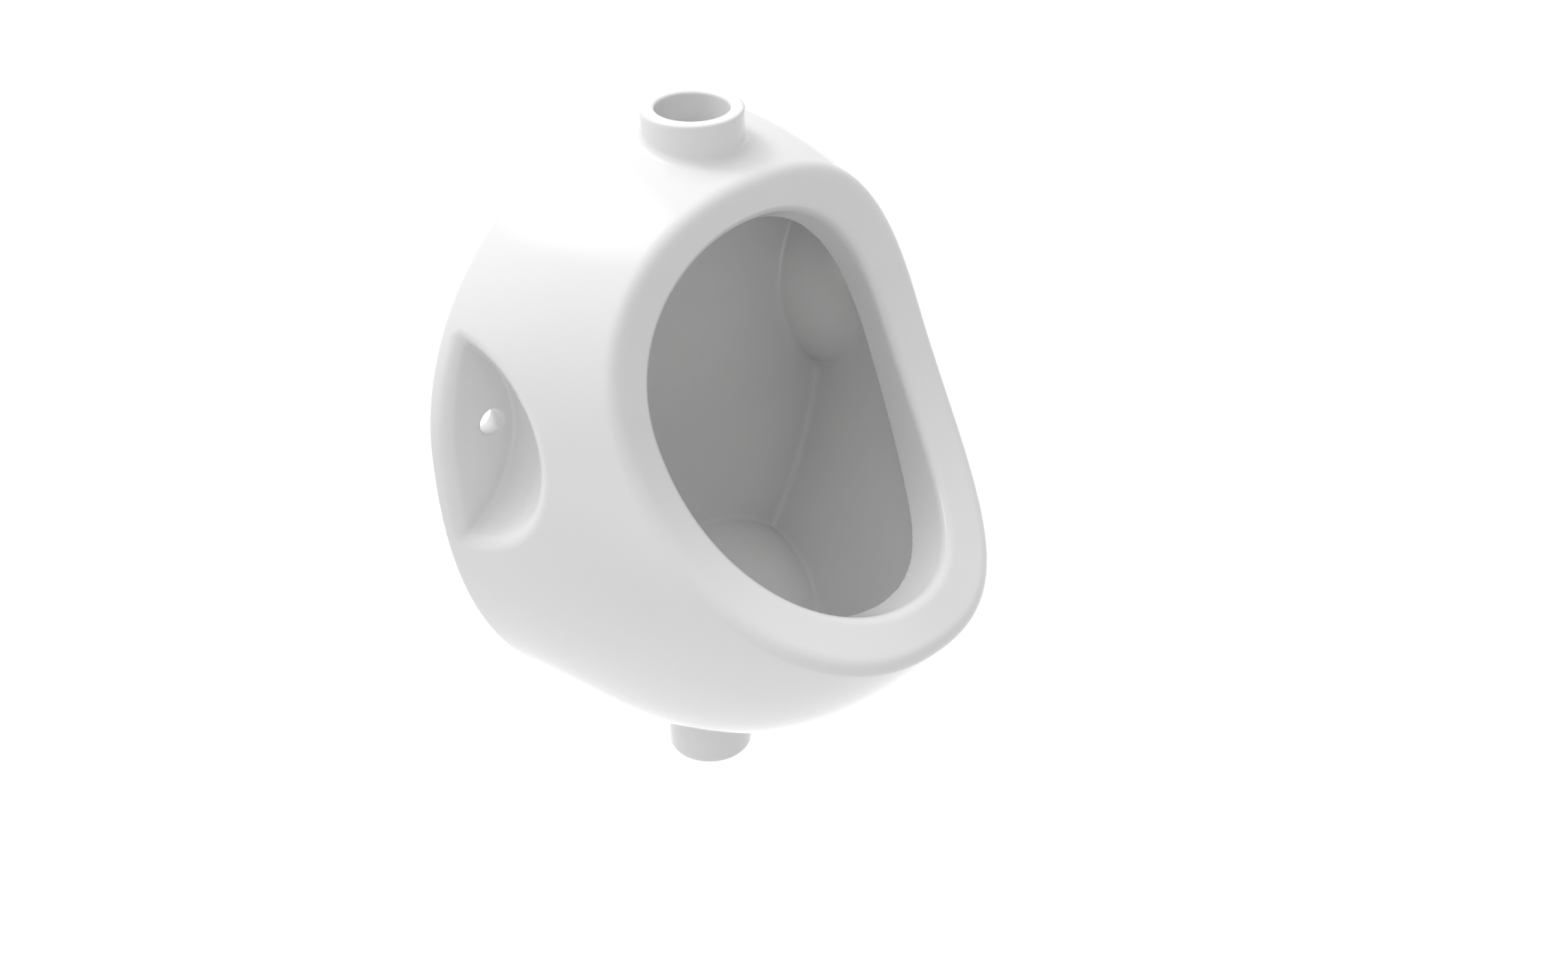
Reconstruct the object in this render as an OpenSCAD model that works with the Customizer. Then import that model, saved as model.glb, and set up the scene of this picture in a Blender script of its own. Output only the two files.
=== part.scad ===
// Wall hung bowl urinal with a top inlet and a bottom outlet, both as open spigots.
// Frame: millimetres, Z up, the user stands on the -Y side, the wall is the plane y = 0.
// Origin: on the wall, midway between the two fixing holes.

/* [Back outline] */
// Half of the width of the outline that lies on the wall
back_half_w = 144.2; // [130:0.1:160]
// Height of the widest level, from the fixing holes
back_level = -13; // [-25:0.5:0]
// Rise of the outline above its widest level
back_up = 148.5; // [140:0.5:160]
// Fall of the outline below its widest level
back_down = 198.3; // [185:0.1:212]
// Roundness of the upper half, 2 is an ellipse
back_up_power = 2; // [1.9:0.01:2.2]
// Roundness of the lower half
back_down_power = 2.25; // [2:0.01:2.5]

/* [Flanks] */
// Outward swell of the flanks between the wall and the rim
swell = 4.5; // [2:0.5:9]
// Extra swell of the belly in its rear third
belly_rear = 78; // [60:1:90]
// Extra swell of the belly in its front third
belly_front = 50; // [35:1:60]
// How sharply the belly gathers at the bottom
belly_power = 14; // [8:0.5:18]
// Rearward lean of the belly next to the wall
belly_rear_lean = 6; // [0:0.5:10]
// Forward lean of the belly next to the rim
belly_front_lean = 13.5; // [5:0.5:18]

/* [Rim] */
// Half of the width of the rim's outer edge
rim_half_w = 106.5; // [98:0.5:112]
// Length of the rim above its widest level, along its curved face
rim_up = 106.3; // [98:0.1:112]
// Length of the rim below its widest level, along its curved face
rim_down = 164.3; // [155:0.1:172]
// Roundness of the rim's outer edge
rim_power = 2.12; // [2:0.01:2.3]
// Radius of the curved sheet that the rim's outer edge lies on
rim_bend_r = 219; // [200:1:240]
// Distance of that sheet's axis from the wall
rim_axis_out = 308; // [300:1:316]
// Height of that sheet's axis
rim_axis_z = 111.5; // [105:0.5:118]
// Distance from that axis level to the rim's widest level, along the sheet
rim_mid = 92; // [85:0.5:100]
// Rounding of the rim's outer edge
rim_edge_r = 8; // [4:0.5:10]

/* [Mouth] */
// Half of the width of the mouth
lip_half_w = 81.2; // [75:0.1:86]
// Length of the mouth above its widest level, along its curved face
lip_up = 90.3; // [84:0.1:94]
// Length of the mouth below its widest level, along its curved face
lip_down = 132.3; // [124:0.1:138]
// Roundness of the mouth
lip_power = 2.1; // [2:0.01:2.3]
// Radius of the curved sheet that the mouth's edge lies on
lip_bend_r = 175.7; // [165:0.1:190]
// Distance of that sheet's axis from the wall
lip_axis_out = 264; // [258:1:270]
// Height of that sheet's axis
lip_axis_z = 91.6; // [88:0.1:96]
// Distance from that axis level to the mouth's widest level, along the sheet
lip_mid = 80.5; // [76:0.5:86]
// Rounding of the mouth's front edge
lip_edge_r = 5.5; // [3:0.5:8]
// Depth of the throat behind the mouth's edge
throat_depth = 20; // [14:0.5:24]

/* [Walls] */
// Thickness of the flanks and the belly
wall = 20; // [15:0.5:22]
// Thickness of the wall that lies on the building's wall
back_wall = 20; // [16:0.5:24]
// Fillet between the back wall and the flanks inside
seam_r = 4; // [2:0.5:8]
// Height of the flat floor of the sump
sump_z = -170; // [-172:0.5:-164]
// Radius of the hump over the drain passage
hump_r = 111.6; // [106:0.1:116]
// Height of the hump's centre
hump_z = -234.9; // [-240:0.1:-230]

/* [Wall fixings] */
// Distance between the fixing holes
fixing_spacing = 225.4; // [218:0.1:230]
// Diameter of a fixing hole
fixing_d = 14; // [10:0.5:16]
// Radius of the scoop that gives room for a fixing's head
scoop_r = 65.7; // [60:0.1:70]
// Distance of a scoop's centre from the middle
scoop_x = 164.7; // [160:0.1:170]
// Thickness of the flat floor that a fixing clamps
scoop_floor = 11.5; // [9:0.5:14]

/* [Inlet] */
// Distance of the inlet's and the outlet's axis from the wall
axis_out = 45; // [42:0.5:48]
// Height of the inlet spigot's top
inlet_top = 147; // [143:0.5:155]
// Outer diameter of the inlet spigot
inlet_od = 51.7; // [48:0.1:56]
// Bore of the socket for the flush pipe
inlet_bore_d = 37; // [34:0.1:40]
// Depth of that socket
inlet_socket = 23; // [18:0.5:26]
// Bore below the socket, which holds the spreader
spreader_bore_d = 31; // [28:0.1:33]
// Height of the flat pad that the spreader seats on
pad_z = 105; // [103:0.5:107]

/* [Outlet] */
// Height of the outlet spigot's lower end, below the origin
outlet_low = -260.6; // [-275:0.1:-250]
// Outer diameter of the outlet spigot
outlet_od = 50; // [46:0.1:54]
// Fillet between the outlet spigot and the belly
outlet_root_r = 4.5; // [3:0.5:6]
// Height at which that fillet starts
outlet_root_z = -223.6; // [-228:0.1:-222.5]
// Bore of the outlet spigot
outlet_bore_d = 37; // [30:0.5:40]
// Height of the top of the outlet bore
outlet_bore_top = -174; // [-177:0.5:-165]
// Width of the passage between the drain well and the outlet bore
passage_w = 20; // [14:0.5:22]
// Height of that passage
passage_h = 12; // [8:0.5:12.5]

/* [Spreader] */
// Wall of the spreader's tube
tube_wall = 3.5; // [2.5:0.1:4.5]
// Radial clearance of the tube in its bore
tube_gap = 1; // [0.6:0.1:1.4]
// Length of the tube above the pad
tube_len = 17; // [14:0.5:18]
// Cord diameter of the seal rings round the tube
ring_d = 3; // [2.4:0.1:3.6]
// Diameter of the spreader's flange
flange_d = 42; // [40:0.5:46]
// Thickness of the flange
flange_t = 3; // [2:0.1:4]
// Thickness of the gasket between the flange and the pad
gasket_t = 2; // [1.5:0.1:3]
// Gap that the water leaves through
spray_gap = 4; // [3:0.1:6]
// Thickness of the deflector
deflector_t = 5; // [4:0.1:7]
// Diameter of the deflector
deflector_d = 40; // [36:0.5:44]
// Thread diameter of the deflector's screw
screw_d = 5; // [4:0.5:6]
// Diameter of the screw's head
screw_head_d = 9; // [8:0.5:10]
// Height of the screw's head
screw_head_t = 2.8; // [2:0.1:3.2]
// Thickness of the web across the tube
web_t = 2.5; // [1.5:0.1:3.5]
// Height of that web
web_h = 6; // [4:0.5:9]

/* [Strainer] */
// Distance of the strainer's axis from the wall
strainer_out = 106; // [103:0.5:108]
// Diameter of the strainer plate
strainer_d = 36; // [33:0.5:38]
// Thickness of the plate
strainer_t = 2; // [1.5:0.1:3]
// Radial gap between the plate and its seat
strainer_gap = 0.4; // [0.2:0.1:1]
// Thickness of the flat seal under the plate
strainer_seal_t = 1; // [0.8:0.1:2]
// Diameter of the drain well under the strainer
well_d = 26; // [22:0.5:28]
// Diameter of one hole of the strainer
strainer_hole_d = 3.2; // [2.4:0.1:3.4]
// Diameter of the inner ring of holes
inner_ring_d = 12.4; // [12:0.1:13]
// Diameter of the outer ring of holes
outer_ring_d = 21.6; // [21:0.1:22]
// Number of holes in the inner ring, the outer one has twice as many
ring_holes = 6; // [4:1:8]
// Diameter of the lifting knob
knob_d = 9; // [7:0.5:11]
// Height of the lifting knob above the plate
knob_h = 7; // [5:0.5:10]

/* [Hidden] */

$fn = 96;
overrun = 3;

// Steps of the body's skin round its outline and along its profile
sides = 72;
flank_steps = 16;
edge_steps = 4;
face_steps = 3;
inner_steps = 10;
seam_steps = 3;
solve_steps = 14;
slope_angle = 1.5;
slope_share = 0.01;

mouth_overrun = 6;
belly_lean_power = 3;
hump_y = -scoop_floor;
axis_y = -axis_out;
strainer_y = -strainer_out;
inlet_bore_r = inlet_bore_d / 2;
outlet_r = outlet_od / 2;
root_sweep = 73;
root_steps = 5;
spreader_bore_r = spreader_bore_d / 2;
pad_gap = 2;
pad_r = flange_d / 2 + pad_gap;
pad_depth = 10;
socket_floor = inlet_top - inlet_socket;

// The drain well, its seat and the passage to the outlet bore
seat_r = strainer_d / 2 + strainer_gap;
seat_depth = strainer_t + strainer_seal_t;
seat_z = sump_z - seat_depth;
niche_gap = 2;
niche_r = seat_r + niche_gap;
niche_h = 40;
well_depth = 17;
well_z = seat_z - well_depth;
passage_run = strainer_out - axis_out;

// Levels and radii of the spreader, from the pad down
gasket_low = pad_z - gasket_t;
flange_low = gasket_low - flange_t;
flange_r = flange_d / 2;
flange_edge = 1;
deflector_top = flange_low - spray_gap;
deflector_low = deflector_top - deflector_t;
deflector_r = deflector_d / 2;
deflector_edge_t = 2;
deflector_bevel_share = 0.6;
tube_r = spreader_bore_r - tube_gap;
tube_in_r = tube_r - tube_wall;
tube_top = pad_z + tube_len;
tube_chamfer = 1;
ring_r = ring_d / 2;
ring_mid_r = spreader_bore_r - ring_r;
groove_r = spreader_bore_r - ring_d;
groove_gap = 0.2;
groove_half = ring_r + groove_gap;
first_ring = 5;
ring_pitch = 7;
ring_levels = [pad_z + first_ring, pad_z + first_ring + ring_pitch];
boss_r = 5.5;
screw_r = screw_d / 2;
screw_head_r = screw_head_d / 2;
screw_gap = 0.3;
screw_end = 1;
slot_w = 1.2;
slot_depth = 1.5;

// Levels and radii of the strainer
seal_top = seat_z + strainer_seal_t;
plate_top = seal_top + strainer_t;
plate_r = strainer_d / 2;
plate_chamfer = 0.5;
knob_r = knob_d / 2;
knob_foot_r = 3.6;
knob_foot_t = 0.8;
knob_neck_r = 2.4;
knob_pin_r = 2.5;
knob_edge = 1.2;
knob_head_share = 0.45;

glaze = "white";
metal = "silver";
seal_black = "dimgray";

function signed_power(v, e) = sign(v) * pow(abs(v), e);
function unit(v) = v / norm(v);
function mix(a, b, t) = a + (b - a) * t;

// Egg outline: the sine share runs across, the cosine share up or down
function across(a, half_w, power) = half_w * signed_power(sin(a), 2 / power);
function rise(a, up, down, power) = (cos(a) > 0 ? up : down) * signed_power(cos(a), 2 / power);

// A point of the outline on the wall, a is the angle from the top
function back_point(a) =
    let (power = cos(a) > 0 ? back_up_power : back_down_power)
    [across(a, back_half_w, power), 0, back_level + rise(a, back_up, back_down, power)];

// A point of an egg outline that is wrapped on a sheet curved about an axis along X
function sheet_point(a, half_w, up, down, power, mid, bend_r, out, level) =
    let (turn = (mid - rise(a, up, down, power)) / bend_r * 180 / PI)
    [across(a, half_w, power), bend_r * cos(turn) - out, level - bend_r * sin(turn)];

function rim_point(a) = sheet_point(
    a, rim_half_w, rim_up, rim_down, rim_power, rim_mid, rim_bend_r, rim_axis_out, rim_axis_z);
function lip_point(a) = sheet_point(
    a, lip_half_w, lip_up, lip_down, lip_power, lip_mid, lip_bend_r, lip_axis_out, lip_axis_z);

// The flank is a cubic curve from the wall to the rim at every angle, and swells into a belly below
function lowness(a) = (1 - cos(a)) / 2;
function rear_handle(a) =
    mix(back_point(a), rim_point(a), 1 / 3)
    + [sin(a), 0, cos(a)] * (swell + belly_rear * pow(lowness(a), belly_power))
    + [0, belly_rear_lean * pow(lowness(a), belly_lean_power), 0];
function front_handle(a) =
    mix(rim_point(a), back_point(a), 1 / 3)
    + [sin(a), 0, cos(a)] * (swell + belly_front * pow(lowness(a), belly_power))
    - [0, belly_front_lean * pow(lowness(a), belly_lean_power), 0];
function flank_point(a, t) =
    pow(1 - t, 3) * back_point(a) + 3 * t * pow(1 - t, 2) * rear_handle(a)
    + 3 * t * t * (1 - t) * front_handle(a) + pow(t, 3) * rim_point(a);

// The share of the flank's curve that a length takes next to the rim
function share_before_rim(a, length) = length / (3 * norm(rim_point(a) - front_handle(a)));

// A rounded corner from p to r about the corner q
function rounded(p, q, r, steps) =
    [for (i = [0 : steps]) let (t = i / steps) mix(mix(p, q, t), mix(q, r, t), t)];

// Length of a rounded corner's arms, for its radius and the directions that leave it
function arm(r, p, q) = r / tan(acos(unit(p) * unit(q)) / 2);

// One profile of the outside: flank, rim edge, rim face, lip and throat
function outer_profile(a) =
    let (
        rim = rim_point(a),
        lip = lip_point(a),
        face = unit(lip - rim),
        throat = [0, 1, 0],
        rim_arm = arm(rim_edge_r, front_handle(a) - rim, face),
        lip_arm = arm(lip_edge_r, -face, throat),
        flank_end = 1 - share_before_rim(a, rim_arm),
        face_start = rim + face * rim_arm,
        face_end = lip - face * lip_arm
    )
    concat(
        [for (i = [0 : flank_steps - 1]) flank_point(a, flank_end * i / flank_steps)],
        rounded(flank_point(a, flank_end), rim, face_start, edge_steps),
        [for (i = [1 : face_steps - 1]) mix(face_start, face_end, i / face_steps)],
        rounded(face_end, lip, lip + throat * lip_arm, edge_steps),
        [lip + throat * (throat_depth + mouth_overrun)]
    );

// The inside of a wall of even thickness
function inward(a, t) =
    unit(cross(
        flank_point(a + slope_angle, t) - flank_point(a - slope_angle, t),
        flank_point(a, t + slope_share) - flank_point(a, t - slope_share)
    ));
function inner_point(a, t) = flank_point(a, t) + inward(a, t) * wall;

// Where the inside of the flank meets the inside of the back wall
function seam_share(a, low, high, steps) =
    steps == 0 ? (low + high) / 2
    : let (middle = (low + high) / 2)
      inner_point(a, middle)[1] > -back_wall
        ? seam_share(a, middle, high, steps - 1)
        : seam_share(a, low, middle, steps - 1);

// One profile of the hollow: mouth, front wall, flank, seam and back wall
function hollow_profile(a) =
    let (
        edge = lip_point(a) + [0, throat_depth, 0],
        front_share = 1 - share_before_rim(a, wall + seam_r),
        corner = inner_point(a, front_share),
        front_dir = unit(edge - corner),
        seam = seam_share(a, 0, front_share, solve_steps),
        flank_in = 1 - share_before_rim(a, wall + seam_r + seam_r),
        seam_point = inner_point(a, seam),
        seam_in = seam + share_before_rim(a, seam_r),
        back_dir = unit([0, -back_wall, back_level] - seam_point)
    )
    concat(
        rounded(seam_point + back_dir * seam_r, seam_point, inner_point(a, seam_in), seam_steps),
        [for (i = [1 : inner_steps - 1]) inner_point(a, mix(seam_in, flank_in, i / inner_steps))],
        rounded(inner_point(a, flank_in), corner, corner + front_dir * seam_r / 2, seam_steps),
        [edge + front_dir * overrun]
    );

// A closed skin through profiles that go once round, with a fan at each end
module skin(profiles, first_hub, last_hub) {
    rows = len(profiles);
    steps = len(profiles[0]);
    first = rows * steps;
    last = first + 1;
    points = concat([for (p = profiles) each p], [first_hub, last_hub]);
    faces = concat(
        [for (r = [0 : rows - 1], s = [0 : steps - 2])
            let (a = r * steps + s, b = ((r + 1) % rows) * steps + s)
            each [[a, b, a + 1], [b, b + 1, a + 1]]],
        [for (r = [0 : rows - 1])
            let (next = (r + 1) % rows)
            each [[first, next * steps, r * steps], [last, (r + 1) * steps - 1, (next + 1) * steps - 1]]]
    );
    polyhedron(points, faces);
}

function turn_angle(i) = 360 * i / sides;
function mouth_centre(depth) =
    [0, (lip_point(0)[1] + lip_point(180)[1]) / 2 + depth, lip_point(90)[2]];

// The outside of the bowl with its throat, before it is hollowed
module outer_form() {
    skin(
        [for (i = [0 : sides - 1]) outer_profile(turn_angle(i))],
        [0, 0, back_level],
        mouth_centre(throat_depth + mouth_overrun)
    );
}

// The hollow of the bowl, with the hump and the scoops' backs left standing
module bowl_hollow() {
    difference() {
        skin(
            [for (i = [0 : sides - 1]) hollow_profile(turn_angle(i))],
            [0, -back_wall, back_level],
            mouth_centre(throat_depth)
        );
        translate([0, hump_y, hump_z]) sphere(hump_r);
        for (side = [-1, 1])
            translate([side * scoop_x, -scoop_floor, 0]) sphere(scoop_r + wall);
        translate([-back_half_w, -rim_axis_out, sump_z - back_down])
            cube([back_half_w * 2, rim_axis_out, back_down]);
        translate([0, axis_y, pad_z]) cylinder(r = pad_r, h = wall + wall);
    }
}

// A spherical scoop with a flat floor parallel to the wall
module fixing_scoop() {
    rotate([90, 0, 0]) rotate_extrude() intersection() {
        circle(scoop_r);
        square(scoop_r);
    }
}

module fixing_cuts() {
    for (side = [-1, 1]) {
        translate([side * scoop_x, -scoop_floor, 0]) fixing_scoop();
        translate([side * fixing_spacing / 2, overrun, 0]) rotate([90, 0, 0])
            cylinder(d = fixing_d, h = scoop_floor + overrun + overrun);
    }
}

// Niche, seat, well and level passage of the drain, and the outlet bore
module drain_cuts() {
    translate([0, strainer_y, sump_z]) cylinder(r = niche_r, h = niche_h);
    translate([0, strainer_y, seat_z]) cylinder(r = seat_r, h = seat_depth + overrun);
    translate([0, strainer_y, well_z]) cylinder(d = well_d, h = well_depth + overrun);
    translate([0, axis_y, outlet_low - overrun])
        cylinder(d = outlet_bore_d, h = outlet_bore_top - outlet_low + overrun);
    translate([-passage_w / 2, strainer_y, well_z]) cube([passage_w, passage_run, passage_h]);
}

module inlet_cuts() {
    translate([0, axis_y, pad_z - pad_depth]) cylinder(r = pad_r, h = pad_depth);
    translate([0, axis_y, socket_floor])
        cylinder(r = inlet_bore_r, h = inlet_socket + overrun);
    translate([0, axis_y, pad_z - overrun])
        cylinder(r = spreader_bore_r, h = socket_floor - pad_z + overrun + overrun);
}

// Outlet spigot with its root fillet, up into the belly
module outlet_spigot() {
    translate([0, axis_y, 0]) rotate_extrude() polygon(concat(
        [[0, outlet_low], [outlet_r, outlet_low]],
        [for (i = [0 : root_steps])
            let (turn = root_sweep * i / root_steps)
            [outlet_r + outlet_root_r * (1 - cos(turn)), outlet_root_z + outlet_root_r * sin(turn)]],
        [[outlet_r + outlet_root_r * (1 - cos(root_sweep)), outlet_bore_top], [0, outlet_bore_top]]
    ));
}

module ceramic_body() {
    color(glaze) difference() {
        union() {
            difference() {
                outer_form();
                bowl_hollow();
            }
            translate([0, axis_y, pad_z]) cylinder(d = inlet_od, h = inlet_top - pad_z);
            outlet_spigot();
        }
        fixing_cuts();
        drain_cuts();
        inlet_cuts();
    }
}

// Flanged tube, pushed up into the bore from inside the bowl
module spreader_profile() {
    polygon(concat(
        [[tube_in_r, flange_low], [flange_r - flange_edge, flange_low],
            [flange_r, flange_low + flange_edge], [flange_r, gasket_low], [tube_r, gasket_low]],
        [for (level = ring_levels) each [
            [tube_r, level - groove_half], [groove_r, level - groove_half],
            [groove_r, level + groove_half], [tube_r, level + groove_half]]],
        [[tube_r, tube_top - tube_chamfer], [tube_r - tube_chamfer, tube_top], [tube_in_r, tube_top]]
    ));
}

module spreader_web() {
    for (turn = [0, 90]) rotate([0, 0, turn])
        translate([-tube_r, -web_t / 2, flange_low]) cube([tube_r * 2, web_t, web_h]);
    translate([0, 0, flange_low]) cylinder(r = boss_r, h = web_h);
}

module spreader_body() {
    color(metal) translate([0, axis_y, 0]) difference() {
        union() {
            rotate_extrude() spreader_profile();
            intersection() {
                spreader_web();
                translate([0, 0, flange_low]) cylinder(r = tube_in_r, h = web_h);
            }
        }
        translate([0, 0, flange_low - overrun]) cylinder(r = screw_r, h = web_h + overrun + overrun);
    }
}

module spreader_gasket() {
    color(seal_black) translate([0, axis_y, gasket_low]) difference() {
        cylinder(r = flange_r, h = gasket_t);
        translate([0, 0, -overrun]) cylinder(r = tube_r, h = gasket_t + overrun + overrun);
    }
}

// Two seal rings that grip the tube and the bore
module spreader_rings() {
    color(seal_black) for (level = ring_levels)
        translate([0, axis_y, level]) rotate_extrude() translate([ring_mid_r, 0]) circle(ring_r);
}

// Disc that turns the water outward, with a boss up to the web and a recess for the screw's head
module spreader_deflector() {
    color(metal) translate([0, axis_y, 0]) rotate_extrude() polygon([
        [screw_r + screw_gap, deflector_low + screw_head_t],
        [screw_head_r + screw_gap, deflector_low + screw_head_t],
        [screw_head_r + screw_gap, deflector_low],
        [deflector_r * deflector_bevel_share, deflector_low],
        [deflector_r, deflector_top - deflector_edge_t],
        [deflector_r, deflector_top],
        [boss_r, deflector_top],
        [boss_r, flange_low],
        [screw_r + screw_gap, flange_low]
    ]);
}

module spreader_screw() {
    color(metal) translate([0, axis_y, deflector_low]) difference() {
        union() {
            cylinder(r = screw_head_r, h = screw_head_t);
            cylinder(r = screw_r, h = flange_low - deflector_low + web_h + screw_end);
        }
        for (turn = [45, 135]) rotate([0, 0, turn])
            translate([-screw_r, -slot_w / 2, -overrun]) cube([screw_d, slot_w, slot_depth + overrun]);
    }
}

// Perforated plate, flush with the floor of the sump
module strainer_plate() {
    color(metal) translate([0, strainer_y, seal_top]) difference() {
        union() {
            cylinder(r = plate_r, h = strainer_t - plate_chamfer);
            cylinder(r = plate_r - plate_chamfer, h = strainer_t);
        }
        translate([0, 0, -overrun]) cylinder(r = knob_pin_r, h = strainer_t + overrun + overrun);
        for (i = [1 : ring_holes]) rotate([0, 0, 360 * i / ring_holes])
            translate([inner_ring_d / 2, 0, -overrun])
                cylinder(d = strainer_hole_d, h = strainer_t + overrun + overrun);
        for (i = [1 : ring_holes * 2]) rotate([0, 0, 180 * i / ring_holes])
            translate([outer_ring_d / 2, 0, -overrun])
                cylinder(d = strainer_hole_d, h = strainer_t + overrun + overrun);
    }
}

module strainer_seal() {
    color(seal_black) translate([0, strainer_y, seat_z]) difference() {
        cylinder(r = plate_r, h = strainer_seal_t);
        translate([0, 0, -overrun]) cylinder(d = well_d, h = strainer_seal_t + overrun + overrun);
    }
}

// Turned knob, its pin is pressed into the plate
module strainer_knob() {
    color(metal) translate([0, strainer_y, plate_top]) rotate_extrude() polygon([
        [0, -strainer_t],
        [knob_pin_r, -strainer_t],
        [knob_pin_r, 0],
        [knob_foot_r, 0],
        [knob_foot_r, knob_foot_t],
        [knob_neck_r, knob_foot_t + knob_foot_r - knob_neck_r],
        [knob_neck_r, knob_h * knob_head_share],
        [knob_r, knob_h * knob_head_share + knob_r - knob_neck_r],
        [knob_r, knob_h - knob_edge],
        [knob_r - knob_edge, knob_h],
        [0, knob_h]
    ]);
}

ceramic_body();
spreader_body();
spreader_gasket();
spreader_rings();
spreader_deflector();
spreader_screw();
strainer_plate();
strainer_seal();
strainer_knob();
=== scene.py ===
import math
import bpy
import numpy as np
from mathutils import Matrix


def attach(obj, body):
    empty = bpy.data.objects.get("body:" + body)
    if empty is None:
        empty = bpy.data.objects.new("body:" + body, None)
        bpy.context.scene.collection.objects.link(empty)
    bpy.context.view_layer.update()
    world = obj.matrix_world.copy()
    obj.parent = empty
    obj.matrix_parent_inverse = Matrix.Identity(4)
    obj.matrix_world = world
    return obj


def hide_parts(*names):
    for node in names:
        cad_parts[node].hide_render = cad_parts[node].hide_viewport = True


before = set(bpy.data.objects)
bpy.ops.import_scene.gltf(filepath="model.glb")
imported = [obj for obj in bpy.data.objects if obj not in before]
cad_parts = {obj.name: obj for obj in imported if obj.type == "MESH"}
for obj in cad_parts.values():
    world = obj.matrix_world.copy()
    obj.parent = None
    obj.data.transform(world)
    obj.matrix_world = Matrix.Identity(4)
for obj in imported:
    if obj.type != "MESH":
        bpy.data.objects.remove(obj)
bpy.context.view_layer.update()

import openvdb
from mathutils import Vector

MM = 0.001
VOXEL = 1.0      # mm, the grid that the ceramic body is meshed on
BAND = 9.0                         # mm, distances are exact this far from a skin

# ------------------------------------------------ sizes of the ceramic body, in mm
# as in the CAD model, but for the rim, the throat and the pocket's bulge inside, which follow the photograph
BACK_HALF_W, BACK_LEVEL, BACK_UP, BACK_DOWN = 144.2, -13.0, 148.5, 198.3
BACK_UP_POWER, BACK_DOWN_POWER = 2.0, 2.25
SWELL, BELLY_REAR, BELLY_FRONT, BELLY_POWER = 4.5, 78.0, 50.0, 14.0
REAR_LEAN, FRONT_LEAN, LEAN_POWER = 6.0, 13.5, 3.0
RIM = dict(half_w=105.3, up=107.8, down=158.1, power=2.28, bend=219.0, out=308.0, level=111.5, mid=97.8)
LIP = dict(half_w=81.2, up=90.3, down=132.3, power=2.1, bend=175.7, out=264.0, level=91.6, mid=80.5)
RIM_R, LIP_R, THROAT, THROAT_LOW, THROAT_FALL = 8.0, 4.5, 20.0, 29.0, math.radians(30)
THROAT_WAY = np.array([0.0, math.cos(THROAT_FALL), -math.sin(THROAT_FALL)])
WALL, BACK_WALL, SEAM_R = 20.0, 20.0, 4.0
SUMP_Z, HUMP_R, HUMP_Z = -170.0, 111.6, -234.9
FIXING_SPACING, FIXING_R = 225.4, 7.0
SCOOP_R, SCOOP_X, SCOOP_FLOOR = 65.7, 164.7, 11.5
BULGE_R, BULGE_Z = 80.5, 9.0
AXIS_Y, INLET_TOP, INLET_R, INLET_BORE_R, SOCKET_FLOOR = -45.0, 147.0, 25.85, 18.5, 124.0
SPREADER_BORE_R, PAD_Z, PAD_R, PAD_DEPTH = 15.5, 105.0, 23.0, 10.0
OUTLET_LOW, OUTLET_R, OUTLET_BORE_R, OUTLET_BORE_TOP = -260.6, 25.0, 18.5, -174.0
STRAINER_Y, SEAT_R, SEAT_Z, NICHE_R, NICHE_H = -106.0, 18.4, -173.0, 20.4, 40.0
WELL_R, WELL_Z, PASSAGE_W, PASSAGE_H = 13.0, -190.0, 20.0, 12.0

# roundings of the glaze, in mm
BACK_EDGE, BULGE_SEAM, HUMP_SEAM, SUMP_SEAM, PAD_SEAM, PAD_EDGE = 1.6, 2.5, 2.5, 5.0, 2.0, 2.0
POCKET_SEAM, POCKET_MOUTH, HOLE_EDGE = 2.5, 6.0, 1.0
INLET_ROOT, INLET_EDGE, OUTLET_ROOT, OUTLET_EDGE = 4.0, 1.4, 4.5, 1.2
NICHE_EDGE, DRAIN_EDGE, PASSAGE_EDGE, BORE_EDGE = 1.6, 0.8, 1.0, 0.8

# how far a piece runs on into its neighbour, and how far a cut or a skin runs on past the solid, in mm
LAP, PAST = 4.0, 9.0
RIM_REACH, MOUTH_REACH, PAD_RISE, OUTLET_RISE, INLET_SINK = 14.0, 40.0, 40.0, -195.0, 12.0
LOW_TURN, TURN_SPAN = math.radians(85), math.radians(50)   # where the throat turns from shallow to deep


# ------------------------------------------------ the loft's formulas
def spow(v, e):
    return np.sign(v) * np.abs(v) ** e


def vec(x, y, z):
    return np.stack(np.broadcast_arrays(x, y, z), -1)


def back_point(a):
    s, c = np.sin(a), np.cos(a)
    power = np.where(c > 0, BACK_UP_POWER, BACK_DOWN_POWER)
    span = np.where(c > 0, BACK_UP, BACK_DOWN)
    return vec(BACK_HALF_W * spow(s, 2 / power), 0.0, BACK_LEVEL + span * spow(c, 2 / power))


def sheet_point(a, q):
    s, c = np.sin(a), np.cos(a)
    rise = np.where(c > 0, q["up"], q["down"]) * spow(c, 2 / q["power"])
    turn = (q["mid"] - rise) / q["bend"]
    return vec(q["half_w"] * spow(s, 2 / q["power"]), q["bend"] * np.cos(turn) - q["out"],
               q["level"] - q["bend"] * np.sin(turn))


def handles(a):
    back, rim = back_point(a), sheet_point(a, RIM)
    low = (1 - np.cos(a)) / 2
    out = vec(np.sin(a), 0.0, np.cos(a))
    rear = back + (rim - back) / 3 + out * (SWELL + BELLY_REAR * low ** BELLY_POWER)[..., None]
    rear[..., 1] += REAR_LEAN * low ** LEAN_POWER
    front = rim + (back - rim) / 3 + out * (SWELL + BELLY_FRONT * low ** BELLY_POWER)[..., None]
    front[..., 1] -= FRONT_LEAN * low ** LEAN_POWER
    return back, rear, front, rim


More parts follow.
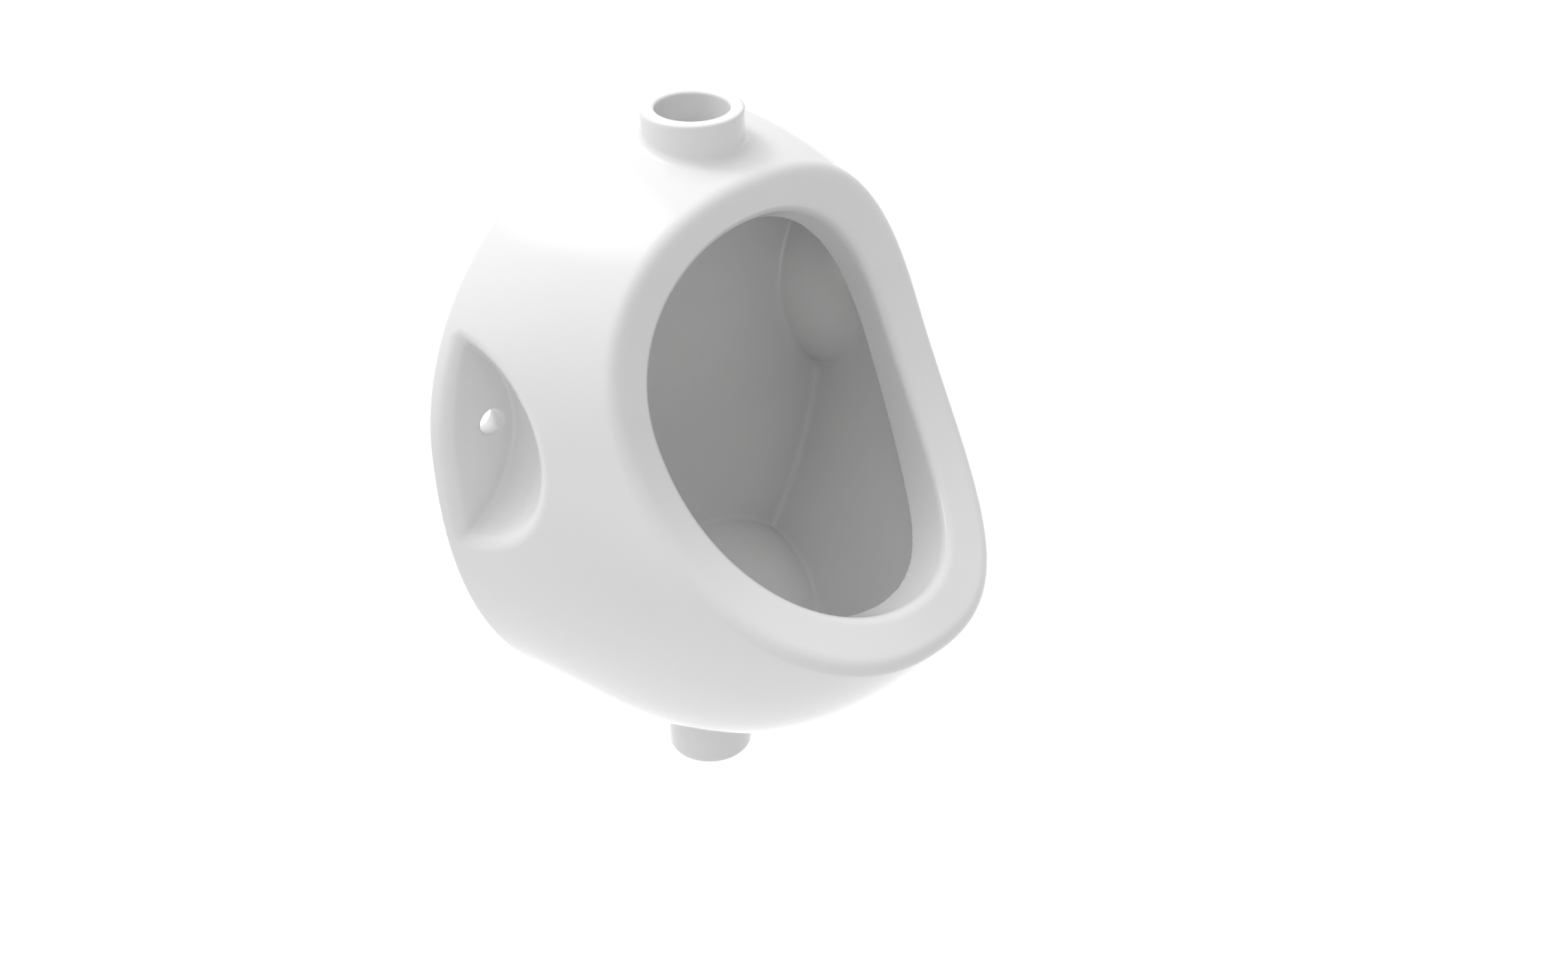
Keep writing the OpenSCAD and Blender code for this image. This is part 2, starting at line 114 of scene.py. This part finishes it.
def flank(a, t):
    a, t = np.broadcast_arrays(a, t)
    p0, p1, p2, p3 = handles(a)
    t = t[..., None]
    return (1 - t) ** 3 * p0 + 3 * t * (1 - t) ** 2 * p1 + 3 * t * t * (1 - t) * p2 + t ** 3 * p3


def unit(v):
    return v / np.linalg.norm(v, axis=-1, keepdims=True)


def inner(a, t):
    a, t = np.broadcast_arrays(a, t)
    da, dt = math.radians(1.5), 0.01
    n = np.cross(flank(a + da, t) - flank(a - da, t), flank(a, t + dt) - flank(a, t - dt))
    return flank(a, t) + unit(n) * WALL


def share_before_rim(a, length):
    _, _, front, rim = handles(a)
    return length / (3 * np.linalg.norm(rim - front, axis=-1))


def corner(p, q, r, steps):
    """The corner at q rounded from p to r, a circle's arc where both arms are equal."""
    weight = np.sin(np.arccos(np.clip((unit(p - q) * unit(r - q)).sum(-1), -1, 1)) / 2)[..., None]
    t = np.linspace(0, 1, steps)[:, None, None]
    first, middle, last = (1 - t) ** 2, 2 * weight * t * (1 - t), t * t
    return (first * p + middle * q + last * r) / (first + middle + last)


def line(p, q, steps):
    t = np.linspace(0, 1, steps)[:, None, None]
    return p + (q - p) * t


# ------------------------------------------------ fine skins of the loft, as closed meshes in mm
def closed_skin(rows, first_hub, last_hub):
    """rows: (steps, sides, 3) from the first hub to the last; returns points and quads and triangles."""
    steps, sides, _ = rows.shape
    pts = np.concatenate([rows.reshape(-1, 3), [first_hub, last_hub]])
    j = np.arange(sides)
    k = (j + 1) % sides
    i = np.arange(steps - 1)[:, None] * sides
    quads = np.stack([i + j, i + sides + j, i + sides + k, i + k], -1).reshape(-1, 4)
    first, last = steps * sides, steps * sides + 1
    end = (steps - 1) * sides
    tris = np.concatenate([np.stack([np.full(sides, first), j, k], -1),
                           np.stack([np.full(sides, last), end + k, end + j], -1)])
    return pts, tris, quads


def angles(n):
    return np.linspace(0, 2 * math.pi, n, endpoint=False)


def outer_skin(n):
    a = angles(n)
    back, rear, front, rim = handles(a)
    lip = sheet_point(a, LIP)
    face = unit(lip - rim)
    # the same rounding radius whatever the angle between flank and face
    along = unit(front - rim)
    half = np.arccos(np.clip((along * face).sum(-1), -1, 1)) / 2
    arm = RIM_R / np.tan(half)
    end = 1 - arm / (3 * np.linalg.norm(rim - front, axis=-1))
    t = np.linspace(0, 1, 170)[:, None]
    rows = [line(back - unit(rear - back) * LAP, back, 5)[:-1],
            flank(a[None, :], t * end[None, :]),
            corner(flank(a, end), rim, rim + face * arm[:, None], 22)[1:],
            line(rim + face * arm[:, None], lip + face * RIM_REACH, 30)[1:]]
    rows = np.concatenate(rows)
    low = rows[0].mean(0)
    return closed_skin(rows, [0.0, low[1], BACK_LEVEL], [0.0, rows[-1][:, 1].mean(), 0.0])


def hollow_skin(n):
    a = angles(n)
    edge = sheet_point(a, LIP)
    end = 1 - share_before_rim(a, WALL + SEAM_R)
    low, high = np.zeros_like(a), end.copy()
    for _ in range(16):
        mid = (low + high) / 2
        behind = inner(a, mid)[:, 1] > -BACK_WALL
        low, high = np.where(behind, mid, low), np.where(behind, high, mid)
    seam = (low + high) / 2
    start = seam + share_before_rim(a, SEAM_R)
    stop = 1 - share_before_rim(a, WALL + 2 * SEAM_R)
    p = inner(a, seam)
    hub = np.array([0.0, -BACK_WALL, BACK_LEVEL])
    q = inner(a, end)
    # the throat is deeper round the mouth's lower half
    share = np.clip((np.arccos(np.cos(a)) - LOW_TURN) / TURN_SPAN, 0, 1)
    depth = THROAT + (THROAT_LOW - THROAT) * share ** 2 * (3 - 2 * share)
    throat = edge + THROAT_WAY * depth[:, None]
    t = np.linspace(0, 1, 110)[:, None]
    rows = [line(p + (hub - p) * 0.9, p + unit(hub - p) * SEAM_R, 12)[:-1],
            corner(p + unit(hub - p) * SEAM_R, p, inner(a, start), 10)[:-1],
            inner(a[None, :], start[None, :] + t * (stop - start)[None, :]),
            corner(inner(a, stop), q, q + unit(throat - q) * SEAM_R, 12)[1:],
            line(q + unit(throat - q) * SEAM_R, throat, 8)[1:],
            line(throat, edge - THROAT_WAY * MOUTH_REACH, 50)[1:]]
    rows = np.concatenate(rows)
    return closed_skin(rows, hub, rows[-1].mean(0))


# ------------------------------------------------ distance fields on a grid (negative inside)
class Field:
    """Signed distances on a regular grid over half the body, x >= 0, later mirrored."""

    def __init__(self, low, high, step):
        self.low, self.step = np.array(low, float), step
        self.shape = tuple(int(math.ceil((h - l) / step)) + 1 for l, h in zip(low, high))
        ax = [(l + step * np.arange(n)).astype(np.float32) for l, n in zip(low, self.shape)]
        self.x, self.y, self.z = ax[0][:, None, None], ax[1][None, :, None], ax[2][None, None, :]

    def skin(self, mesh):
        pts, tris, quads = mesh
        idx = (pts - self.low) / self.step
        grid = openvdb.FloatGrid.createLevelSetFromPolygons(
            np.ascontiguousarray(idx, np.float32), np.ascontiguousarray(tris, np.uint32),
            np.ascontiguousarray(quads, np.uint32), halfWidth=BAND / self.step)
        out = np.empty(self.shape, np.float32)
        grid.copyToArray(out, ijk=(0, 0, 0))
        return out * self.step

    def sphere(self, cx, cy, cz, r):
        return np.sqrt((self.x - cx) ** 2 + (self.y - cy) ** 2 + (self.z - cz) ** 2) - r

    def tube(self, cx, cy, r, z0, z1, edge=0.0):
        """Upright cylinder with rounded ends."""
        d = np.sqrt((self.x - cx) ** 2 + (self.y - cy) ** 2) - (r - edge)
        h = np.abs(self.z - (z0 + z1) / 2) - ((z1 - z0) / 2 - edge)
        return np.hypot(np.maximum(d, 0), np.maximum(h, 0)) + np.minimum(np.maximum(d, h), 0) - edge


def round_max(a, b, r):
    """Intersection with the convex edge rounded."""
    return np.minimum(-r, np.maximum(a, b)) + np.hypot(np.maximum(a + r, 0), np.maximum(b + r, 0))


def round_min(a, b, r):
    """Union with the corner filled by a fillet."""
    return np.maximum(r, np.minimum(a, b)) - np.hypot(np.maximum(r - a, 0), np.maximum(r - b, 0))


def ceramic_field(f, n):
    x, y, z = f.x, f.y, f.z
    # the hollow: bowl, throat and mouth, less what stands in it
    hollow = f.skin(hollow_skin(n))
    hollow = round_max(hollow, -f.sphere(SCOOP_X, -SCOOP_FLOOR, BULGE_Z, BULGE_R), BULGE_SEAM)
    hollow = round_max(hollow, -f.sphere(0, -SCOOP_FLOOR, HUMP_Z, HUMP_R), HUMP_SEAM)
    hollow = round_max(hollow, SUMP_Z - z, SUMP_SEAM)
    hollow = round_max(hollow, -f.tube(0, AXIS_Y, PAD_R, PAD_Z, PAD_Z + PAD_RISE, PAD_EDGE), PAD_SEAM)
    # the outside, flat against the wall
    body = round_max(f.skin(outer_skin(n)), np.broadcast_to(y, f.shape), BACK_EDGE)
    body = round_max(body, -hollow, LIP_R)
    # spigots with their root fillets
    body = round_min(body, f.tube(0, AXIS_Y, INLET_R, PAD_Z + INLET_SINK, INLET_TOP, INLET_EDGE), INLET_ROOT)
    body = round_min(body, f.tube(0, AXIS_Y, OUTLET_R, OUTLET_LOW, OUTLET_RISE, OUTLET_EDGE), OUTLET_ROOT)
    # side pockets and fixing holes
    scoop = round_max(f.sphere(SCOOP_X, -SCOOP_FLOOR, 0, SCOOP_R), y + SCOOP_FLOOR, POCKET_SEAM)
    body = round_max(body, -scoop, POCKET_MOUTH)
    hole = np.sqrt((x - FIXING_SPACING / 2) ** 2 + z ** 2) - FIXING_R
    hole = np.maximum(hole, -SCOOP_FLOOR - PAST - y)
    body = round_max(body, -hole, HOLE_EDGE)
    # drain: niche, seat, well, level passage and the outlet's bore
    body = round_max(body, -f.tube(0, STRAINER_Y, NICHE_R, SUMP_Z, SUMP_Z + NICHE_H), NICHE_EDGE)
    body = round_max(body, -f.tube(0, STRAINER_Y, SEAT_R, SEAT_Z, SUMP_Z + LAP), DRAIN_EDGE)
    body = round_max(body, -f.tube(0, STRAINER_Y, WELL_R, WELL_Z, SEAT_Z + LAP), DRAIN_EDGE)
    passage = np.maximum(np.abs(x) - PASSAGE_W / 2, np.abs(z - WELL_Z - PASSAGE_H / 2) - PASSAGE_H / 2)
    passage = np.maximum(passage, np.maximum(STRAINER_Y - y, y - AXIS_Y))
    body = round_max(body, -passage, PASSAGE_EDGE)
    body = round_max(body, -f.tube(0, AXIS_Y, OUTLET_BORE_R, OUTLET_LOW - PAST, OUTLET_BORE_TOP), OUTLET_EDGE)
    # inlet: seat of the spreader, its bore and the socket for the flush pipe
    body = np.maximum(body, -f.tube(0, AXIS_Y, PAD_R, PAD_Z - PAD_DEPTH, PAD_Z))
    body = round_max(body, -f.tube(0, AXIS_Y, SPREADER_BORE_R, PAD_Z - LAP, SOCKET_FLOOR + LAP), BORE_EDGE)
    body = round_max(body, -f.tube(0, AXIS_Y, INLET_BORE_R, SOCKET_FLOOR, INLET_TOP + PAST), INLET_EDGE)
    return body


def sample(full, p):
    """Trilinear value and gradient of the grid at points given in grid steps."""
    i = np.clip(np.floor(p).astype(np.int64), 0, np.array(full.shape) - 2)
    u = (p - i).astype(np.float32)
    ix, iy, iz = i.T
    c = [[[full[ix + a, iy + b, iz + k] for k in (0, 1)] for b in (0, 1)] for a in (0, 1)]
    ux, uy, uz = u.T

    def lerp(p0, p1, t):
        return p0 + (p1 - p0) * t
    cx = [[lerp(c[0][b][k], c[1][b][k], ux) for k in (0, 1)] for b in (0, 1)]
    cxy = [lerp(cx[0][k], cx[1][k], uy) for k in (0, 1)]
    value = lerp(cxy[0], cxy[1], uz)
    gz = cxy[1] - cxy[0]
    gy = lerp(cx[1][0] - cx[0][0], cx[1][1] - cx[0][1], uz)
    dx = [[c[1][b][k] - c[0][b][k] for k in (0, 1)] for b in (0, 1)]
    gx = lerp(lerp(dx[0][0], dx[1][0], uy), lerp(dx[0][1], dx[1][1], uy), uz)
    return value, np.stack([gx, gy, gz], -1)


def gradient_at(full, p, reach=0.75):
    """Smoothed gradient: differences over a fixed reach either side."""
    g = np.empty_like(p)
    for axis in range(3):
        d = np.zeros(3)
        d[axis] = reach
        g[:, axis] = sample(full, p + d)[0] - sample(full, p - d)[0]
    return g / np.linalg.norm(g, axis=1, keepdims=True)


def mesh_from_field(name, half, f):
    full = np.concatenate([half[:0:-1], half])
    full = np.clip(full, -BAND, BAND) / f.step
    grid = openvdb.FloatGrid(BAND / f.step)
    grid.copyFromArray(np.ascontiguousarray(full))
    pts, quads = grid.convertToQuads(isovalue=0.0)
    pts = pts.astype(np.float64)
    for _ in range(3):
        value, g = sample(full, pts)
        pts -= np.clip(value / np.maximum((g * g).sum(1), 0.2), -0.5, 0.5)[:, None] * g
    normals = gradient_at(full, pts)
    origin = np.array([-(half.shape[0] - 1) * f.step, f.low[1], f.low[2]])
    co = (pts * f.step + origin) * MM
    mesh = bpy.data.meshes.new(name)
    # faces come clockwise seen from outside, so they are turned round if need be
    a, b, c = co[quads[:, 0]], co[quads[:, 1]], co[quads[:, 2]]
    if (np.cross(b - a, c - a) * normals[quads[:, 0]]).sum() < 0:
        quads = quads[:, ::-1]
    mesh.vertices.add(len(co))
    mesh.vertices.foreach_set("co", co.astype(np.float32).ravel())
    mesh.loops.add(quads.size)
    mesh.loops.foreach_set("vertex_index", np.ascontiguousarray(quads, np.int32).ravel())
    mesh.polygons.add(len(quads))
    mesh.polygons.foreach_set("loop_start", np.arange(0, quads.size, 4, dtype=np.int32))
    mesh.update(calc_edges=True)
    mesh.validate()
    mesh.polygons.foreach_set("use_smooth", np.ones(len(mesh.polygons), bool))
    mesh.normals_split_custom_set_from_vertices(normals.astype(np.float32))
    obj = bpy.data.objects.new(name, mesh)
    bpy.context.scene.collection.objects.link(obj)
    return obj


# ------------------------------------------------ node helpers
def new_material(name):
    mat = bpy.data.materials.new(name)
    mat.use_nodes = True
    nt = mat.node_tree
    bsdf = next(n for n in nt.nodes if n.type == "BSDF_PRINCIPLED")
    return mat, nt, bsdf


def math_node(nt, operation, *values):
    """The output of a math node, its inputs linked, or set where a number is given."""
    n = nt.nodes.new("ShaderNodeMath")
    n.operation = operation
    for socket, value in zip(n.inputs, values):
        if isinstance(value, (int, float)):
            socket.default_value = value
        else:
            nt.links.new(value, socket)
    return n.outputs[0]


def dot_node(nt, first, second):
    """The output of a dot product with a linked vector or a set one."""
    n = nt.nodes.new("ShaderNodeVectorMath")
    n.operation = "DOT_PRODUCT"
    nt.links.new(first, n.inputs[0])
    if isinstance(second, tuple):
        n.inputs[1].default_value = second
    else:
        nt.links.new(second, n.inputs[1])
    return n.outputs["Value"]


def noise(nt, coords, scale, detail=2.0, roughness=0.5, stretch=(1, 1, 1)):
    m = nt.nodes.new("ShaderNodeMapping")
    m.inputs["Scale"].default_value = stretch
    nt.links.new(coords, m.inputs["Vector"])
    n = nt.nodes.new("ShaderNodeTexNoise")
    n.inputs["Scale"].default_value = scale
    n.inputs["Detail"].default_value = detail
    n.inputs["Roughness"].default_value = roughness
    nt.links.new(m.outputs["Vector"], n.inputs["Vector"])
    return n.outputs["Fac"]


def ramp(nt, fac, stops):
    r = nt.nodes.new("ShaderNodeValToRGB")
    els = r.color_ramp.elements
    while len(els) < len(stops):
        els.new(0.5)
    for e, (pos, col) in zip(els, stops):
        e.position = pos
        e.color = (*col, 1.0) if len(col) == 3 else col
    nt.links.new(fac, r.inputs["Fac"])
    return r.outputs["Color"]


def seen_rays(nt):
    """One for the rays that see the background: from the camera, mirrored or passed through."""
    path = nt.nodes.new("ShaderNodeLightPath").outputs
    first = math_node(nt, "MAXIMUM", path["Is Camera Ray"], path["Is Glossy Ray"])
    return math_node(nt, "MAXIMUM", first, path["Is Transmission Ray"])


def bump(nt, height, distance, strength, below=None):
    b = nt.nodes.new("ShaderNodeBump")
    b.inputs["Strength"].default_value = strength
    b.inputs["Distance"].default_value = distance
    nt.links.new(height, b.inputs["Height"])
    if below is not None:
        nt.links.new(below, b.inputs["Normal"])
    return b.outputs["Normal"]


def object_coords(nt):
    return nt.nodes.new("ShaderNodeTexCoord").outputs["Object"]


def glaze_material():
    mat, nt, b = new_material("Glaze")
    at = object_coords(nt)
    tint = ramp(nt, noise(nt, at, 14, 3), [(0.3, (0.795, 0.797, 0.796)), (0.7, (0.812, 0.812, 0.808))])
    nt.links.new(tint, b.inputs["Base Color"])
    # faint waviness of fired glaze, and a soft spread of its gloss
    rough = nt.nodes.new("ShaderNodeMapRange")
    rough.inputs["To Min"].default_value = 0.07
    rough.inputs["To Max"].default_value = 0.11
    nt.links.new(noise(nt, at, 60, 2), rough.inputs["Value"])
    nt.links.new(rough.outputs["Result"], b.inputs["Roughness"])
    wave = bump(nt, noise(nt, at, 45, 1.5), 0.0002, 0.10)
    peel = bump(nt, noise(nt, at, 420, 1.0), 0.00004, 0.12, wave)
    nt.links.new(peel, b.inputs["Normal"])
    b.inputs["IOR"].default_value = 1.5
    return mat


def chrome_material():
    mat, nt, b = new_material("SpreaderChrome")
    at = object_coords(nt)
    nt.links.new(ramp(nt, noise(nt, at, 90, 3), [(0.3, (0.74, 0.74, 0.76)), (0.7, (0.84, 0.84, 0.86))]),
                 b.inputs["Base Color"])
    b.inputs["Metallic"].default_value = 1.0
    r = nt.nodes.new("ShaderNodeMapRange")
    r.inputs["To Min"].default_value = 0.05
    r.inputs["To Max"].default_value = 0.16
    nt.links.new(noise(nt, at, 260, 4), r.inputs["Value"])
    nt.links.new(r.outputs["Result"], b.inputs["Roughness"])
    return mat


def steel_material():
    mat, nt, b = new_material("SatinSteel")
    at = object_coords(nt)
    brushed = noise(nt, at, 500, 3, stretch=(1, 0.06, 1))
    nt.links.new(ramp(nt, brushed, [(0.3, (0.58, 0.58, 0.59)), (0.7, (0.70, 0.70, 0.71))]),
                 b.inputs["Base Color"])
    b.inputs["Metallic"].default_value = 1.0
    r = nt.nodes.new("ShaderNodeMapRange")
    r.inputs["To Min"].default_value = 0.24
    r.inputs["To Max"].default_value = 0.38
    nt.links.new(brushed, r.inputs["Value"])
    nt.links.new(r.outputs["Result"], b.inputs["Roughness"])
    nt.links.new(bump(nt, brushed, 0.00003, 0.3), b.inputs["Normal"])
    return mat


def rubber_material():
    mat, nt, b = new_material("SealRubber")
    at = object_coords(nt)
    fine = noise(nt, at, 900, 4)
    nt.links.new(ramp(nt, fine, [(0.3, (0.030, 0.030, 0.031)), (0.7, (0.052, 0.052, 0.052))]),
                 b.inputs["Base Color"])
    b.inputs["Roughness"].default_value = 0.62
    nt.links.new(bump(nt, fine, 0.00005, 0.4), b.inputs["Normal"])
    return mat


GLAZE, CHROME, STEEL, RUBBER = glaze_material(), chrome_material(), steel_material(), rubber_material()

# ------------------------------------------------ the ceramic body
field = Field((0, -224, -264), (148, 4, 151), VOXEL)
body = mesh_from_field("ceramic_glaze", ceramic_field(field, 1080), field)
body.data.materials.append(GLAZE)
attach(body, "urinal")
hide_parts("ceramic_body")

for name, mat in {"spreader_body": CHROME, "spreader_deflector": CHROME, "spreader_screw": STEEL,
                  "strainer_plate": STEEL, "strainer_knob": STEEL, "spreader_gasket": RUBBER,
                  "spreader_rings": RUBBER, "strainer_seal": RUBBER}.items():
    obj = bpy.data.objects[name]
    for s in obj.material_slots:
        s.material = mat

# ------------------------------------------------ floor, light and camera
scene = bpy.context.scene
FLOOR_Z, FLOOR_SIZE, FLOOR_GLOW = -0.95, 16.0, 0.45
bpy.ops.mesh.primitive_plane_add(size=FLOOR_SIZE, location=(0, 0, FLOOR_Z))
floor = bpy.context.object
floor.name = "floor"
mat, nt, b = new_material("FloorPale")
at = object_coords(nt)
nt.links.new(ramp(nt, noise(nt, at, 2.0, 3), [(0.3, (0.80, 0.80, 0.80)), (0.7, (0.82, 0.82, 0.82))]),
             b.inputs["Base Color"])
b.inputs["Roughness"].default_value = 0.9
# the background is white to the camera and in reflections, and the shadow stays
b.inputs["Emission Color"].default_value = (1, 1, 1, 1)
nt.links.new(math_node(nt, "MULTIPLY", seen_rays(nt), FLOOR_GLOW), b.inputs["Emission Strength"])
floor.data.materials.append(mat)

world = bpy.data.worlds.new("Studio")
scene.world = world
world.use_nodes = True
nt = world.node_tree
nt.nodes.clear()
out = nt.nodes.new("ShaderNodeOutputWorld")
bg = nt.nodes.new("ShaderNodeBackground")
white = nt.nodes.new("ShaderNodeBackground")
white.inputs["Color"].default_value = (1, 1, 1, 1)
white.inputs["Strength"].default_value = 1.0
# soft light as (direction, strength): most from overhead and the left, some from behind, right and front
LIGHTS = (((0, 0, 1), 1.12), ((-0.7, 0, 0.7), 0.96), ((0.1, 0.95, 0.25), 0.72), ((1, 0, 0), 0.62),
          ((0, -1, 0), 0.32))
SPREAD = 2.0                       # each falls off with this power of the cosine
sky = nt.nodes.new("ShaderNodeTexCoord").outputs["Generated"]
total = 0.0
for direction, strength in LIGHTS:
    front = math_node(nt, "MAXIMUM", dot_node(nt, sky, direction), 0.0)
    total = math_node(nt, "MULTIPLY_ADD", math_node(nt, "POWER", front, SPREAD), strength, total)
nt.links.new(total, bg.inputs["Strength"])
mixer = nt.nodes.new("ShaderNodeMixShader")
nt.links.new(seen_rays(nt), mixer.inputs[0])
nt.links.new(bg.outputs[0], mixer.inputs[1])
nt.links.new(white.outputs[0], mixer.inputs[2])
nt.links.new(mixer.outputs[0], out.inputs["Surface"])

LAMP_WAY, LAMP_FAR = Vector((-0.25, 0.42, 0.87)).normalized(), 2.0


def softbox(name, size, energy):
    """A lamp overhead, faded towards its edges, so that its mirror image in the glaze has soft ends."""
    data = bpy.data.lights.new(name, "AREA")
    data.shape = "SQUARE"
    data.size = size
    data.energy = energy
    data.use_nodes = True
    nt = data.node_tree
    nt.nodes.clear()
    place = nt.nodes.new("ShaderNodeNewGeometry")
    middle = nt.nodes.new("ShaderNodeVectorMath")
    middle.operation = "MULTIPLY_ADD"
    middle.inputs[1].default_value = (2, 2, 0)
    middle.inputs[2].default_value = (-1, -1, 0)
    nt.links.new(place.outputs["Parametric"], middle.inputs[0])
    fade = nt.nodes.new("ShaderNodeMapRange")
    fade.interpolation_type = "SMOOTHSTEP"
    fade.inputs["From Min"].default_value = 1.0
    fade.inputs["From Max"].default_value = 0.0
    nt.links.new(dot_node(nt, middle.outputs["Vector"], middle.outputs["Vector"]), fade.inputs["Value"])
    shine = nt.nodes.new("ShaderNodeEmission")
    nt.links.new(fade.outputs["Result"], shine.inputs["Strength"])
    end = nt.nodes.new("ShaderNodeOutputLight")
    nt.links.new(shine.outputs[0], end.inputs["Surface"])
    lamp = bpy.data.objects.new(name, data)
    lamp.location = LAMP_WAY * LAMP_FAR
    lamp.rotation_euler = LAMP_WAY.to_track_quat("Z", "Y").to_euler()
    scene.collection.objects.link(lamp)


softbox("softbox", 1.8, 25.0)
softbox("highlight", 0.6, 14.0)

cam_data = bpy.data.cameras.new("Camera")
camera = bpy.data.objects.new("Camera", cam_data)
scene.collection.objects.link(camera)
camera.location = (-0.5651, -0.6735, 0.4906)
camera.rotation_euler = (math.radians(90 - 34.02), 0, math.radians(-45))
cam_data.sensor_width = 36.0
cam_data.lens = 41.95
scene.camera = camera
scene.view_settings.view_transform = "Standard"
